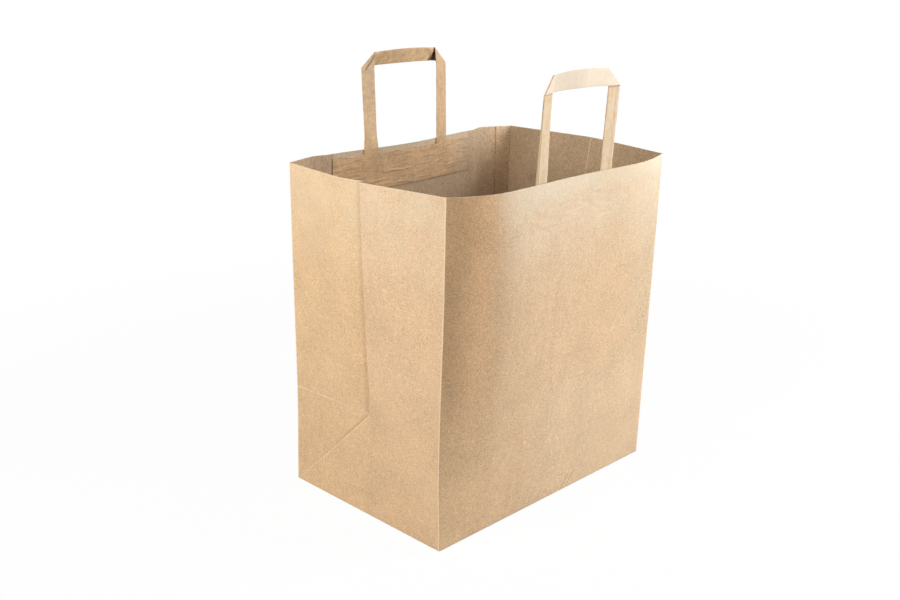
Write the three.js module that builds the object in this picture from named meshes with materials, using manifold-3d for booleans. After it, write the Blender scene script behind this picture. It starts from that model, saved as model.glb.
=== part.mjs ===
// Paper carrier bag. One kraft sheet is folded into a gusseted tube with a lapped seam, its foot is
// folded into a block bottom, and a folded paper strap is glued inside each broad panel as a handle,
// under a paper patch. The open bag stands by itself and has bowed and creased as paper does.
// Millimetres, +Z up. The origin is on the floor under the middle of the bottom. The front faces -Y.

import * as THREE from 'three';
import { LoftGeometry } from 'three/addons/geometries/LoftGeometry.js';
import { mergeGeometries, mergeVertices } from 'three/addons/utils/BufferGeometryUtils.js';
import Module from 'manifold-3d';

const wasm = await Module();
wasm.setup();

// Bag
const width = 320;
const depth = 210;
const height = 340;
const paper = 0.15;
const seamLap = 20;
const bottomLap = 25;

// Shape that the open bag has taken, measured outwards. The front fills out from the foot, faster the
// higher its fullness, and the gussets come out towards the rim, sooner the lower their growth.
const frontBow = 17;
const frontSag = 3;
const frontFullness = 2.2;
const rearKink = 13;
const rearLevel = 4;
const rearSag = 6;
const rearBelly = 7;
const leftBow = 13.5;
const rightBow = 17;
const gussetGrowth = 0.75;
const gussetDent = 7.5;
const creaseDepth = 7;
const creaseStart = 2;
const creaseReach = 21;

// Handles: flat straps, folded at 45 degrees at both top corners
const handleSpan = 116;
const handleRise = 98;
const rearShift = 4;
const strapWidth = 18;
const strap = 0.9;
const foldGap = 0.3;
const barArch = 2;
const handleLean = THREE.MathUtils.degToRad(2.4);
const frontTwist = THREE.MathUtils.degToRad(15);
const rearTwist = THREE.MathUtils.degToRad(8);
const frontSpring = 0.5;
const rearSpring = 6;

// Patches that hold the handles
const patchLength = 204;
const patchHeight = 38;
const patchDrop = 4.5;
const legInset = 4;
const patchRamp = 6;
const patchEase = 1;
const seat = 0.3;

const kraft = new THREE.MeshStandardMaterial({ color: 0xd6b48c, roughness: 0.9, metalness: 0 });
const strapKraft = new THREE.MeshStandardMaterial({ color: 0xdcc09c, roughness: 0.85, metalness: 0 });
const patchKraft = new THREE.MeshStandardMaterial({ color: 0xc9a67a, roughness: 0.9, metalness: 0 });

// The bottom is three layers thick: the inner sheet, the rear flap and the front flap below it
const floorUnder = 2 * paper;
const floorTop = 3 * paper;
const halfWidth = width / 2;
const halfDepth = depth / 2;
const flatHalf = patchLength / 2 + rearShift;
const flank = halfWidth - flatHalf;

const { clamp, lerp, smoothstep } = THREE.MathUtils;

// How each panel bows outwards, at a distance s along it from its middle and at height z
const risen = (z) => clamp((z - floorTop) / (height - floorTop), 0, 1);
const flankShare = (s) => clamp((halfWidth - Math.abs(s)) / flank, 0, 1);
const sagShare = (s) => Math.cos((Math.PI / 2) * Math.min(1, Math.abs(s) / flatHalf)) ** 2;

function frontBowAt(s, z) {
  const grown = 1 - (1 - risen(z)) ** frontFullness;
  return grown * (frontBow * Math.sin((Math.PI / 2) * flankShare(s)) - frontSag * sagShare(s));
}

const kinkPlace = 0.65;
function rearBowAt(s, z) {
  const t = flankShare(s);
  const kink = t < kinkPlace ? t / kinkPlace : (1 - t) / (1 - kinkPlace);
  const rim = rearKink * kink + rearLevel * t - rearSag * sagShare(s);
  const belly = rearBelly * Math.sin((Math.PI / 2) * t) * Math.sin(Math.PI * risen(z));
  return rim * risen(z) ** 2 + belly;
}

// A gusset keeps its folds: a centre crease down to a dented apex, and two diagonals to the corners
function gussetBowAt(s, z, rimBow) {
  const inwards = 1 - Math.abs(s) / halfDepth;
  const low = Math.max(0, z - floorTop) / (halfDepth - floorTop);
  if (low <= 1) return -gussetDent * Math.min(low, inwards);
  const up = (z - halfDepth) / (height - halfDepth);
  const crest = lerp(-gussetDent, rimBow, up ** gussetGrowth);
  const crease = lerp(creaseStart, creaseDepth, up) * smoothstep(z, halfDepth, halfDepth + creaseReach);
  const valley = Math.max(0, 1 - Math.abs(s) / creaseReach) ** 2;
  return crest * inwards - crease * valley;
}

// The four panels, counter-clockwise seen from above. A panel's own frame has s along it to the right,
// seen from outside; turn puts it into the bag's, and shift is where its handle's middle lies.
const leftBowAt = (s, z) => gussetBowAt(s, z, leftBow);
const rightBowAt = (s, z) => gussetBowAt(s, z, rightBow);
const panels = {
  front: { half: halfWidth, reach: halfDepth, turn: 0, bow: frontBowAt, shift: 0 },
  right: { half: halfDepth, reach: halfWidth, turn: Math.PI / 2, bow: rightBowAt },
  rear: { half: halfWidth, reach: halfDepth, turn: Math.PI, bow: rearBowAt, shift: rearShift },
  left: { half: halfDepth, reach: halfWidth, turn: -Math.PI / 2, bow: leftBowAt },
};

const upAxis = new THREE.Vector3(0, 0, 1);
const place = (panel, s, out, z) => new THREE.Vector3(s, -out, z).applyAxisAngle(upAxis, panel.turn);
const wallOut = (panel, s, z) => panel.reach + panel.bow(s, z);

function wallPoint(panel, s, z, inset) {
  return place(panel, s * (1 - inset / panel.half), wallOut(panel, s, z) - inset, z);
}

// A grid of points laid on a surface. Each square is split along the diagonal that lies on it.
function sheet(columns, rows, pointAt) {
  const across = columns.length - 1;
  const upwards = rows.length - 1;
  const geometry = new THREE.PlaneGeometry(1, 1, across, upwards);
  const at = (i, j) => pointAt(columns[i], rows[upwards - j]);
  for (let j = 0; j <= upwards; j += 1) {
    for (let i = 0; i <= across; i += 1) {
      geometry.attributes.position.setXYZ(j * (across + 1) + i, ...at(i, j));
    }
  }
  const index = [];
  for (let j = 0; j < upwards; j += 1) {
    for (let i = 0; i < across; i += 1) {
      const a = j * (across + 1) + i;
      const [b, c, d] = [a + across + 1, a + across + 2, a + 1];
      const middle = pointAt(
        (columns[i] + columns[i + 1]) / 2,
        (rows[upwards - j] + rows[upwards - j - 1]) / 2,
      );
      const falling = at(i, j).lerp(at(i + 1, j + 1), 0.5).distanceTo(middle);
      const rising = at(i, j + 1).lerp(at(i + 1, j), 0.5).distanceTo(middle);
      index.push(...(falling < rising ? [a, b, c, a, c, d] : [a, b, d, b, c, d]));
    }
  }
  geometry.setIndex(index);
  geometry.deleteAttribute('normal');
  geometry.deleteAttribute('uv');
  return geometry;
}

const reversed = (list) => [...list].reverse();
const closed = (sheets) => mergeVertices(mergeGeometries(sheets), 1e-4);

function toSolid(geometry) {
  return new wasm.Manifold(new wasm.Mesh({
    numProp: 3,
    vertProperties: Float32Array.from(geometry.attributes.position.array),
    triVerts: Uint32Array.from(geometry.index.array),
  }));
}

function fromSolid(solid) {
  const { vertProperties, triVerts } = solid.getMesh();
  const geometry = new THREE.BufferGeometry();
  geometry.setAttribute('position', new THREE.BufferAttribute(vertProperties, 3));
  geometry.setIndex(new THREE.BufferAttribute(triVerts, 1));
  return geometry;
}

// Grid lines of the bag: on folds, the seam's edge and the breaks of the bows
const seamEdge = 0.25;
const cornerTurn = 1;
const flatColumns = 16;
function widthColumns() {
  const fromCorner = [0, cornerTurn, seamLap - seamEdge, seamLap + seamEdge];
  for (const share of [0.16, 0.5, kinkPlace, 0.82]) fromCorner.push(share * flank);
  const sides = fromCorner.flatMap((e) => [e - halfWidth, halfWidth - e]);
  const flat = Array.from({ length: flatColumns + 1 }, (_, i) => flatHalf * ((2 * i) / flatColumns - 1));
  return [...sides, ...flat].sort((a, b) => a - b);
}
const creaseShares = [0, 0.06, 0.13, 0.2, 0.4, 0.6, 0.8, 1];
const depthColumns = [
  ...reversed(creaseShares).map((share) => -share * halfDepth),
  ...creaseShares.slice(1).map((share) => share * halfDepth),
];
const wallRows = [0.1, 0.22, 0.36, 0.52, 0.68, 0.82, 0.93, 1].map((k) => lerp(halfDepth, height, k));
const footRows = reversed(creaseShares).slice(1).map((share) => lerp(halfDepth, floorTop, share));

// Where the seam laps the rear panel, just round the rear right corner, the wall is two layers thick
function wallDepth(panel, s, z) {
  const fromSeamCorner = s + halfWidth;
  const lapped = fromSeamCorner > 0 && fromSeamCorner < seamLap && z > floorTop;
  return panel === panels.rear && lapped ? 2 * paper : paper;
}

function bottomFlap(reach, low, high) {
  const trim = 2 * paper;
  const edge = halfWidth - trim;
  const shape = new THREE.Shape();
  shape.moveTo(-edge, trim - halfDepth);
  shape.lineTo(edge, trim - halfDepth);
  shape.lineTo(edge - halfDepth - reach, reach);
  shape.lineTo(halfDepth + reach - edge, reach);
  const geometry = new THREE.ExtrudeGeometry(shape, { depth: high - low, bevelEnabled: false });
  geometry.deleteAttribute('normal');
  geometry.deleteAttribute('uv');
  return mergeVertices(geometry.translate(0, 0, low));
}

function bagBody() {
  const columnsAcross = widthColumns();
  const rows = [...footRows, ...wallRows];
  const outerRows = [floorUnder, ...rows];
  const innerRows = [floorTop, ...rows];
  const sheets = [];
  for (const panel of Object.values(panels)) {
    const columns = panel.half === halfWidth ? columnsAcross : depthColumns;
    const inner = (s, z) => wallPoint(panel, s, z, wallDepth(panel, s, z));
    const outer = (s, z) => wallPoint(panel, s, z, 0);
    sheets.push(sheet(columns, outerRows, outer));
    sheets.push(sheet(reversed(columns), innerRows, inner));
    sheets.push(sheet(columns, [0, 1], (s, t) => outer(s, height).lerp(inner(s, height), t)));
  }
  const floorPoint = (x, y, inset, z) =>
    new THREE.Vector3(x * (1 - inset / halfWidth), y * (1 - inset / halfDepth), z);
  sheets.push(sheet(columnsAcross, reversed(depthColumns), (x, y) => floorPoint(x, y, 0, floorUnder)));
  sheets.push(sheet(columnsAcross, depthColumns, (x, y) => floorPoint(x, y, paper, floorTop)));
  const bag = toSolid(closed(sheets));
  const sink = paper / 3;
  const rearFlap = bottomFlap(bottomLap / 2, paper, floorUnder + sink).rotateZ(Math.PI);
  const frontFlap = bottomFlap(bottomLap / 2, 0, paper + sink);
  return fromSolid(bag.add(toSolid(rearFlap)).add(toSolid(frontFlap)));
}

// A strap runs up one leg, turns over each 45 degree fold and comes down the other leg. Its sections
// run from its outer edge, which becomes the lower edge of the bar, to its inner edge.
const barTop = height + handleRise;
const legFoot = height - patchDrop - patchHeight + legInset;
const legMiddle = (handleSpan - strapWidth) / 2;
const foldRadius = (strap + foldGap) / 2;
const legSteps = [0, 0.35, 0.7, 1, 1.15, 1.3, 1.5, 1.7, 1.85, 2];
const foldStep = legSteps.at(-1);
const foldTurns = [0.2, 0.4, 0.6, 0.8].map((share) => share * Math.PI);
const barSteps = [0, 0.07, 0.15, 0.25, 0.37, 0.5, 0.63, 0.75, 0.85, 0.93, 1];

function handle(panel, twist, spring) {
  // Outer and inner strap edge at a step up a leg, on the left (-1) or on the right (1). The first
  // steps lie flat on the wall up to its rim, and the others fan out to the fold's slanting line.
  const rising = (step, end) => (step < 1 ? lerp(legFoot, height, step) : lerp(height, end, step - 1));
  const legEdges = (side, step) => [
    [side * handleSpan / 2, rising(step, barTop - strapWidth)],
    [side * (handleSpan / 2 - strapWidth), rising(step, barTop)],
  ];
  const barEdges = (step) => [
    [lerp(-1, 1, step) * handleSpan / 2, barTop - strapWidth + barArch * Math.sin(Math.PI * step)],
    [lerp(-1, 1, step) * (handleSpan / 2 - strapWidth), barTop + barArch * Math.sin(Math.PI * step)],
  ];
  // The left leg turns its inner edge inwards as it rises, and the bar springs open from its folds
  const bend = (s, z, turn) => {
    const fromLeg = s + legMiddle;
    const rise = smoothstep(z, height, barTop - strapWidth);
    const fade = 1 - smoothstep(fromLeg, strapWidth / 2, strapWidth / 2 + legMiddle);
    const turned = -Math.tan(twist) * Math.min(fromLeg, strapWidth / 2) * fade * rise;
    const freed = 1 - smoothstep(Math.abs(s), legMiddle - strapWidth, legMiddle + strapWidth / 2);
    const sprung = turn > Math.PI / 2 ? (spring * freed * (barTop - z)) / strapWidth : 0;
    return turned + sprung;
  };
  const section = ([outer, inner], turn, side) => {
    const corners = [[outer, -1], [inner, -1], [inner, 1], [outer, 1]];
    return corners.map(([[s, z], face]) => {
      const radius = foldRadius + (face * strap) / 2;
      const bulge = (Math.sin(turn) * radius) / Math.SQRT2;
      const [along, up] = [panel.shift + s + side * bulge, z + bulge];
      const wall = wallOut(panel, along, Math.min(up, height)) - paper - seat;
      const lean = Math.tan(handleLean) * Math.max(0, up - height);
      const layer = foldGap / 2 - Math.cos(turn) * radius;
      return place(panel, along, wall + lean + layer + bend(s, z, turn), up);
    });
  };
  const sections = [
    ...legSteps.map((step) => section(legEdges(-1, step), 0, -1)),
    ...foldTurns.map((turn) => section(legEdges(-1, foldStep), turn, -1)),
    ...barSteps.map((step) => section(barEdges(step), Math.PI, 0)),
    ...reversed(foldTurns).map((turn) => section(legEdges(1, foldStep), turn, 1)),
    ...reversed(legSteps).map((step) => section(legEdges(1, step), 0, 1)),
  ];
  const loft = new LoftGeometry(sections, { capStart: true, capEnd: true });
  const geometry = new THREE.BufferGeometry().copy(loft);
  geometry.deleteAttribute('normal');
  geometry.deleteAttribute('uv');
  return mergeVertices(geometry);
}

// A patch lies on the wall and rises over the two strap legs that it holds
function patch(panel) {
  const covered = strapWidth / 2 + patchEase;
  const raise = (s) => {
    const beside = Math.abs(Math.abs(s) - legMiddle) - covered;
    return (strap + seat) * clamp(1 - beside / patchRamp, 0, 1);
  };
  const top = height - patchDrop;
  const breaks = [covered + patchRamp, covered].flatMap((e) => [legMiddle - e, legMiddle + e]);
  const right = [...breaks, (legMiddle - covered - patchRamp) / 2];
  right.push(patchLength / 2, (patchLength / 2 + legMiddle + covered + patchRamp) / 2);
  const columns = [0, ...right, ...right.map((s) => -s)].sort((a, b) => a - b);
  const rows = [top - patchHeight, top - patchHeight / 2, top];
  const at = (s, z, layer) => {
    const out = wallOut(panel, s + panel.shift, z) - paper - seat - raise(s) - layer * paper;
    return place(panel, s + panel.shift, out, z);
  };
  const sheets = [
    sheet(columns, rows, (s, z) => at(s, z, 0)),
    sheet(reversed(columns), rows, (s, z) => at(s, z, 1)),
    sheet(columns, [0, 1], (s, layer) => at(s, rows.at(-1), layer)),
    sheet(columns, [1, 0], (s, layer) => at(s, rows[0], layer)),
    sheet([1, 0], rows, (layer, z) => at(columns[0], z, layer)),
    sheet([0, 1], rows, (layer, z) => at(columns.at(-1), z, layer)),
  ];
  return closed(sheets);
}

const bag = new THREE.Group();

function addPart(name, geometry, material) {
  const mesh = new THREE.Mesh(geometry, material);
  mesh.name = name;
  bag.add(mesh);
}

addPart('bag_body', bagBody(), kraft);
addPart('front_handle', handle(panels.front, frontTwist, frontSpring), strapKraft);
addPart('rear_handle', handle(panels.rear, rearTwist, rearSpring), strapKraft);
addPart('front_handle_patch', patch(panels.front), patchKraft);
addPart('rear_handle_patch', patch(panels.rear), patchKraft);

export default bag;
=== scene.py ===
"""An open kraft paper carrier bag: a gusseted bag with a block bottom and two folded paper handles.

Sizes are in metres. The front panel faces -Y. On each panel, s runs to the right, seen from outside.
The rear handle and its patch are modelled as if on the front, and are then turned round.
"""

import math
import random
from collections import namedtuple

import bmesh
import bpy
import numpy as np
from bpy.props import FloatProperty, FloatVectorProperty, PointerProperty
from bpy.types import Operator, Panel, PropertyGroup
from mathutils import Matrix, Vector


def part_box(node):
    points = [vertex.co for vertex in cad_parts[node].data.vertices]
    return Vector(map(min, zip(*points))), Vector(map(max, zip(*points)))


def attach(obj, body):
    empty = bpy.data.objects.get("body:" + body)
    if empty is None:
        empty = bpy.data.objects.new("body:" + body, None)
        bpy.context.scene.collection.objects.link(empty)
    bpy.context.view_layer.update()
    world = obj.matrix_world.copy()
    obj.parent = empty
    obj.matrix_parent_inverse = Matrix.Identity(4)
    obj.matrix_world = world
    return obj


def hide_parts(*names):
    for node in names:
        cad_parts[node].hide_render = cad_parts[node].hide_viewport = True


bl_info = {
    "name": "Paper Carrier Bag",
    "version": (1, 0, 0),
    "blender": (4, 5, 0),
    "location": "View3D > Sidebar > Carrier Bag",
    "description": "Models an open kraft paper carrier bag with folded paper handles",
    "category": "Add Mesh",
}

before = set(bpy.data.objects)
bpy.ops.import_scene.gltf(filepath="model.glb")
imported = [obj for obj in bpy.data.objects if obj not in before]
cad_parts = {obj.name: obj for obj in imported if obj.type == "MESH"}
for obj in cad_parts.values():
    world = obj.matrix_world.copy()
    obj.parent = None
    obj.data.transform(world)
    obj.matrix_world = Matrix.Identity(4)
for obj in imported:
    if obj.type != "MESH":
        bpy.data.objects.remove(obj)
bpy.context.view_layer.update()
BODY = "root"
BAG_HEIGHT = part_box("bag_body")[1].z
MM = 0.001


# Settings

def length(name, description, default):
    return FloatProperty(name=name, description=description, default=default, unit='LENGTH', precision=4)


def angle(name, description, degrees):
    return FloatProperty(name=name, description=description, default=math.radians(degrees), subtype='ANGLE')


def share(name, description, default):
    return FloatProperty(name=name, description=description, default=default)


def colour(name, description, default):
    return FloatVectorProperty(
        name=name, description=description, default=default, subtype='COLOR', size=3, min=0, max=1
    )


def place(name, description, default):
    return FloatVectorProperty(name=name, description=description, default=default, subtype='TRANSLATION')


class BagSizes(PropertyGroup):
    width: length("Width", "Width of the broad panels", 0.320)
    depth: length("Depth", "Width of the gussets", 0.210)
    height: length("Height", "Height of the rim", BAG_HEIGHT)
    paper: length("Paper", "Thickness of the paper", 0.00015)
    fold_radius: length("Fold Radius", "Outer radius of the corner folds", 0.0005)
    seam_lap: length("Seam Lap", "Width of the glued seam inside the rear panel", 0.017)
    seam_lift: length("Seam Lift", "How far the seam's free edge stands off", 0.0003)
    bottom_lap: length("Bottom Lap", "How far the two bottom flaps lap", 0.025)
    stiff_half: length("Stiff Half", "Half the stretch of a broad panel that its patch keeps flat", 0.106)
    front_left_bow: length("Front Left Bow", "How far the front's left part bows out at the rim", 0.0195)
    front_right_bow: length("Front Right Bow", "How far its right part bows out", 0.0155)
    left_flank: length("Left Flank", "Width of the front's bent part on the left, below the rim", 0.095)
    right_flank: length("Right Flank", "Width of the front's bent part on the right", 0.072)
    front_sag: length("Front Sag", "How far the front rim falls back at its middle", 0.003)
    front_fullness: share("Front Fullness", "How soon the front bows out above the foot", 2.2)
    right_bulge: length("Right Bulge", "How far the front panel's right edge bulges at half height", 0.0012)
    right_fade: share("Right Fade", "How soon the bow of its right part fades below the rim", 3.5)
    rear_left_kink: length("Rear Left Kink", "Kink left of the rear patch, seen from behind", 0.0115)
    rear_right_kink: length("Rear Right Kink", "Kink right of the rear patch", 0.006)
    rear_kink_place: share("Rear Kink Place", "Where the kinks lie, from the corner to the patch", 0.65)
    kink_rounding: share("Kink Rounding", "How far the kinks are rounded off", 0.3)
    rear_left_level: length("Rear Left Level", "How far the rear rim stands out left of the patch", 0.0085)
    rear_right_level: length("Rear Right Level", "How far it stands out right of the patch", 0.0052)
    rear_sag: length("Rear Sag", "How far the rear rim falls in at its middle", 0.0088)
    rear_fade: share("Rear Fade", "How soon the rear rim's bends fade below it", 3)
    rear_belly: length("Rear Belly", "How far the rear panel bows out at half height", 0.007)
    left_bow: length("Left Bow", "How far the left gusset bows out at the rim", 0.0135)
    right_bow: length("Right Bow", "How far the right gusset bows out at the rim", 0.017)
    gusset_growth: share("Gusset Growth", "How soon the gussets come out above their folds", 0.75)
    gusset_dent: length("Gusset Dent", "Depth of a gusset where its folds meet", 0.0075)
    crease_depth: length("Crease Depth", "Depth of the gusset crease at the rim", 0.0088)
    crease_start: length("Crease Start", "Depth of the gusset crease above the folds", 0.0035)
    crease_growth: share("Crease Growth", "How late the gusset crease deepens towards the rim", 2.5)
    crease_reach: length("Crease Reach", "Width of the valley behind the crease", 0.021)
    crease_spread: share("Crease Spread", "How far that valley widens towards the rim", 0.6)
    crease_slant: length("Crease Slant", "How far the gusset crease runs forwards up to the rim", 0.0055)
    crease_lip: length("Crease Lip", "Width of the steep side in front of the crease", 0.004)
    right_crease: share("Right Crease", "Depth of the right gusset's crease, to the left one's", 0.12)
    crease_run: length("Crease Run", "How far above the folds the gusset crease fades out", 0.028)
    diagonal_depth: length("Diagonal Depth", "Depth of the diagonal folds behind", 0.0013)
    diagonal_reach: length("Diagonal Reach", "Width of the valley above a diagonal fold", 0.008)
    wave: length("Wave", "Height of the front panel's soft waves", 0.0002)
    front_left_flare: place(
        "Front Left Flare", "How this corner of the mouth is pulled", (-0.0006, 0.0009, 0.001)
    )
    front_right_flare: place("Front Right Flare", "How this corner is pulled", (0.0018, -0.001, 0.0016))
    rear_left_flare: place(
        "Rear Left Flare", "How the corner behind on the left is pulled", (-0.0039, 0.0002, -0.0003)
    )
    rear_right_flare: place(
        "Rear Right Flare", "How the corner behind on the right is pulled", (0.0058, 0.0036, 0.0025)
    )
    near_kink: place(
        "Near Kink", "How the front left fold is pulled at the level fold", (-0.0013, 0.0014, 0)
    )
    left_kink: place("Left Kink", "How the fold behind on the left is pulled there", (0, -0.001, 0))


class HandleSizes(PropertyGroup):
    front_span: length("Front Span", "Width of the front handle over its legs", 0.1145)
    rear_span: length("Rear Span", "Width of the rear handle over its legs", 0.1198)
    front_rise: length("Front Rise", "Height of the front handle above the rim", 0.0977)
    rear_rise: length("Rear Rise", "Height of the rear handle above the rim", 0.0968)
    strap_width: length("Strap Width", "Width of the folded strap", 0.017)
    strap: length("Strap", "Thickness of the folded strap", 0.0008)
    fold_gap: length("Fold Gap", "Gap between the two layers at a fold", 0.0003)
    fold_press: share("Fold Press", "How far the rounded folds are pressed flat", 0.55)
    lap_step: length("Lap Step", "Height of the strap's lengthwise lap", 0.00013)
    front_slant: length("Front Slant", "How far the front grip's right fold slants in at the top", 0.004)
    front_left_slant: length("Front Left Slant", "How far its left fold slants in", -0.001)
    rear_slant: length("Rear Slant", "How far the rear grip's folds slant in at the top", 0.0023)
    rear_lift: length("Rear Lift", "How far the foot of the rear grip's right fold is lifted", 0.0018)
    rear_back: length("Rear Back", "How far the top of the rear handle's right leg stands back", 0.0023)
    front_droop: length("Front Droop", "How far the front grip's top falls off on the left", 0.0013)
    bar_arch: length("Bar Arch", "Rise of the grip at its middle", 0.002)
    lean: angle("Lean", "How far the handles lean out", 2.4)
    front_twist: angle("Front Twist", "Turn of the front handle's left leg", 12.5)
    rear_twist: angle("Rear Twist", "Turn of the rear handle's left leg", 3)
    rear_turn: angle("Rear Turn", "Turn of the rear handle's right leg", 11.5)
    front_splay: length("Front Splay", "How far the foot of the front handle's left leg stands out", 0.0018)
    front_spring: length("Front Spring", "How far the front grip springs open below", 0.0005)
    rear_spring: length("Rear Spring", "How far the rear grip springs open below", 0.0075)
    front_shift: length("Front Shift", "Where the front handle's middle lies", -0.0049)
    rear_shift: length("Rear Shift", "Where the rear handle's middle lies", 0.003)
    crumple: length("Crumple", "Height of the creases in the straps", 0.0002)


class PatchSizes(PropertyGroup):
    span: length("Length", "Length of a patch", 0.202)
    height: length("Height", "Height of a patch", 0.038)
    drop: length("Drop", "Distance of a patch from the rim", 0.0055)
    rear_shift: length("Rear Shift", "Where the rear patch's middle lies", 0.001)
    leg_inset: length("Leg Inset", "How far a leg ends above the patch's lower edge", 0.004)
    ramp: length("Ramp", "Width of the slope beside a covered leg", 0.014)
    ease: length("Ease", "Room beside a covered leg", 0.001)
    seat: length("Seat", "Glue gap", 0.0003)


class PaperColours(PropertyGroup):
    kraft: colour("Kraft", "The bag's paper", (0.66, 0.446, 0.256))
    inside: colour("Inside", "The paper's inner face", (0.56, 0.402, 0.258))
    # The paler front strap and the browner rear strap differ partly as the paper's two faces, and partly as
    # painted light and shade, since the front handle stands in brighter light
    strap_face: colour("Strap Face", "The front strap, on its grip", (0.74, 0.60, 0.44))
    strap_back: colour("Strap Back", "The rear strap and the legs of the front one", (0.66, 0.445, 0.25))
    patch: colour("Patch", "The patches' paper", (0.645, 0.418, 0.228))
    pale_fibre: colour("Pale Fibre", "Pale fibres in the paper", (0.86, 0.70, 0.50))
    # Dark specks in the paper; this colour also paints shade and shadow lines
    dark_fibre: colour("Dark Fibre", "Dark specks in the paper", (0.34, 0.20, 0.10))
    # The pale colour of the painted sheen below the rim; it also makes the strip above the rear patch paler
    rubbed: colour("Sheened", "Paper that is rubbed pale below the rim", (0.79, 0.68, 0.50))
    # Pale colour along the folds and the rim: partly wear, partly painted highlight
    worn_fold: colour("Worn Fold", "Paper that is worn along a fold", (0.82, 0.64, 0.44))


class StageSettings(PropertyGroup):
    camera_place: place("Camera Place", "Where the camera stands", (-0.83817, -0.75627, 0.55432))
    camera_turn: angle("Camera Turn", "How far the camera stands round to the left", -46.423)
    camera_tilt: angle("Camera Tilt", "How far the camera looks down", 17.94)
    camera_roll: angle("Camera Roll", "How far the camera leans", 1.488)
    lens: FloatProperty(name="Lens", description="Focal length", default=45.226, subtype='DISTANCE_CAMERA')
    ambient: share("Ambient", "Strength of the light from all round", 0.06)
    floor: colour("Floor", "The floor's own colour", (0.82, 0.82, 0.82))
    floor_white: share("Floor White", "How far the floor is seen as plain white", 0.97)
    shadow_reach: length("Shadow Reach", "How far round the bag the floor shows a shadow", 0.5)


class CarrierBag(PropertyGroup):
    body: PointerProperty(type=BagSizes)
    handle: PointerProperty(type=HandleSizes)
    patch: PointerProperty(type=PatchSizes)
    paper: PointerProperty(type=PaperColours)
    stage: PointerProperty(type=StageSettings)


# Creases that the paper has kept, in millimetres: two ends (s, z), reach and height
Crease = namedtuple("Crease", "start end reach height")
FRONT_CREASES = (
    Crease((-60, 295.5), (-24, 296), 2.5, -0.32),
    Crease((4, 296), (20, 296.5), 2.2, -0.22),
    Crease((42, 296), (64, 296.5), 2.2, -0.24),
    Crease((-18, 305.5), (30, 308), 2.5, 0.1),
    Crease((-68, 300), (-70, 250), 9, -0.25),
    Crease((-70, 254), (-66, 172), 8, -0.22),
    Crease((-24, 292), (-6, 239), 8, 0.2),
    Crease((-6, 243), (16, 184), 9, 0.2),
    Crease((-21, 238), (-20, 163), 9, -0.22),
    Crease((-20, 168), (-14, 120), 6, -0.22),
    Crease((-14, 122), (-11, 74), 4, 0.16),
    Crease((-158, 107), (-106, 104), 2.2, 0.24),
    Crease((-108, 104), (-19, 99), 2.2, 0.26),
    Crease((56, 105), (158, 103), 2.2, 0.18),
    Crease((-56, 106), (-50, 76), 2.2, 0.16),
    Crease((-70, 86), (-111, 34), 8, 0.3),
    Crease((-62, 55), (-64, 11), 5, 0.25),
    Crease((19, 1), (33, 17), 2.2, -0.8),
    Crease((31, 3), (39, 16), 2.2, -0.6),
    Crease((-22, 1), (-12, 14), 2.6, -0.5),
    Crease((-153, 324), (-146, 303), 4, -0.35),
    Crease((-147, 306), (-134, 291), 4, -0.35),
    Crease((-126, 8), (-126, 35), 6, 0.3),
)
LEFT_CREASES = (
    Crease((-102, 106), (0, 106), 2.4, 0.4),
    Crease((-104, 103), (-84, 103), 3, -0.4),
)

# Loose wrinkles, in millimetres: the stretch (s, z) they lie in, number, length, reach, height and slope
Wrinkles = namedtuple("Wrinkles", "low high count length reach height slope seed")
FRONT_WRINKLES = Wrinkles((-80, 297), (85, 330), 60, 13, 2.4, 0.22, 0.6, 4)
PATCH_WRINKLES = Wrinkles((-100, 298), (100, 334), 240, 17, 1.1, 0.5, 0.16, 11)
STRAP_WRINKLES = Wrinkles((-60, 342), (60, 440), 90, 10, 2.5, 1, 3, 21)

# Between which shares of that length half a wrinkle is long, and between which shares its reach varies
WRINKLE_HALVES, WRINKLE_REACHES = (0.3, 0.9), (0.7, 1.4)

# How finely the pieces are cut, and how near two places are that count as one
GRID = 0.0035
PATCH_GRID = 0.8 * MM
FOLD_STRIP = 1.2 * MM
FOLD_STEPS = 8
LEG_CUTS, GRIP_CUTS, STRAP_CUTS = 89, 59, 7
NEAR = 0.01 * MM

# Which share of its normal a face turns one way when it counts as facing that way
FACING = 0.9
FACING_DOWN, FACING_OUT = 0.72, 0.7

# Angles in degrees, up to which a piece is shaded smooth, and from which a strap's edge is rounded
BAG_SMOOTH, STRAP_SMOOTH = 38, 40
STRAP_EDGE_ANGLE, STRAP_EDGE = 65, 0.25 * MM

# The seam's step inwards and a bottom flap's thickness, in thicknesses of the paper
SEAM_STEP, FLAP_THICKNESS = 1.3, 0.8

# The front panel's left part has one form above the first height and another below the second
FRONT_FORMS = (0.32, 0.25)

# The front panel's soft waves: number, greatest turn, least and greatest length, and the plain margin
WAVE_COUNT, WAVE_TURN, WAVE_LENGTHS, WAVE_MARGIN = 9, 0.5, (0.045, 0.11), 0.05

# How hollow a pleat's soft slope is, how far it fills towards the rim, and how a diagonal fold fades
PLEAT_HOLLOW, RIM_FILL = 3, 1.2
DIAGONAL_FADE, DIAGONAL_START = 0.6, 0.01

# Where the left corner folds' kink starts, is full, is held and ends, in heights of the level fold
KINK_STAGES = (0.05, 0.7, 1, 2.5)

# How much of its turn the rear handle's right leg loses up to the grip
TURN_LOSS = 0.4


# Modelling helpers

def deselect_all():
    for piece in bpy.context.selected_objects:
        piece.select_set(False)


def activate(piece):
    deselect_all()
    piece.select_set(True)
    bpy.context.view_layer.objects.active = piece


def named(name, size=(1, 1, 1)):
    """The new piece, with its place and size put into its mesh."""
    piece = bpy.context.active_object
    piece.name = name
    piece.data.name = name
    piece.scale = size
    bpy.ops.object.transform_apply(location=True, rotation=True, scale=True)
    return piece


def start_box(name, size, centre):
    deselect_all()
    bpy.ops.mesh.primitive_cube_add(size=1, location=centre)
    return named(name, size)


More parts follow.
